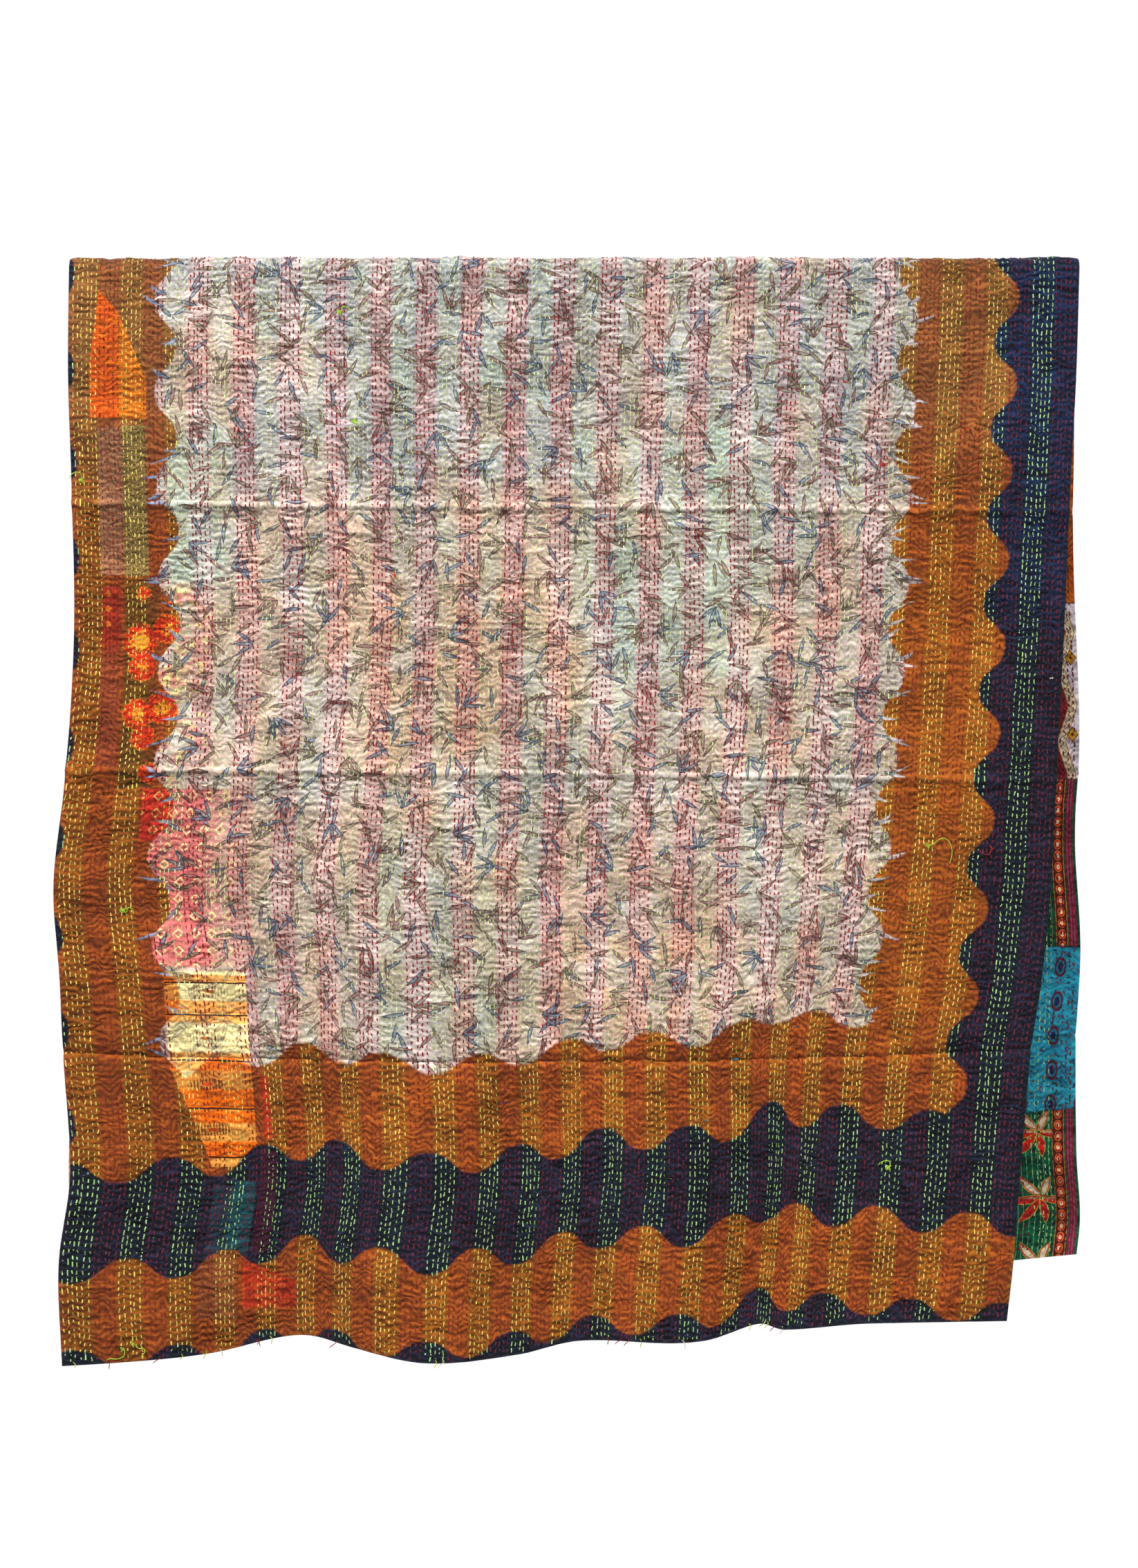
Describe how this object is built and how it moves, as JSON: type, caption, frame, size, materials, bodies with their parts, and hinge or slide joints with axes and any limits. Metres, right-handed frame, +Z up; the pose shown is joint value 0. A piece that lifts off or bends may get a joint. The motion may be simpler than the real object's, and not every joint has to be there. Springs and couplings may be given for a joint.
{
  "type": "kantha quilt",
  "caption": "Layered cotton quilt of printed sari cloth, hand-quilted in rows of running stitch, hung folded over with a long front fall and a shorter back fall.",
  "frame": {"origin": "under the crown of the fold, where the quilt bears on its rail, at the middle of the quilt's width", "axes": "+Z up, +Y from the front fall towards the back fall, +X to the right as the front fall is seen"},
  "size_m": [1.1209, 0.0848, 1.1994],
  "materials": {
    "printed_sari": "matt quilted cotton with a leaf print and scalloped brown and navy borders",
    "pieced_backing": "matt quilted cotton, pieced from lengths in orange, white and maroon, dark green and turquoise"
  },
  "bodies": {
    "root": {"face_cloth": "printed_sari", "backing_cloth": "pieced_backing"}
  },
  "joints": []
}
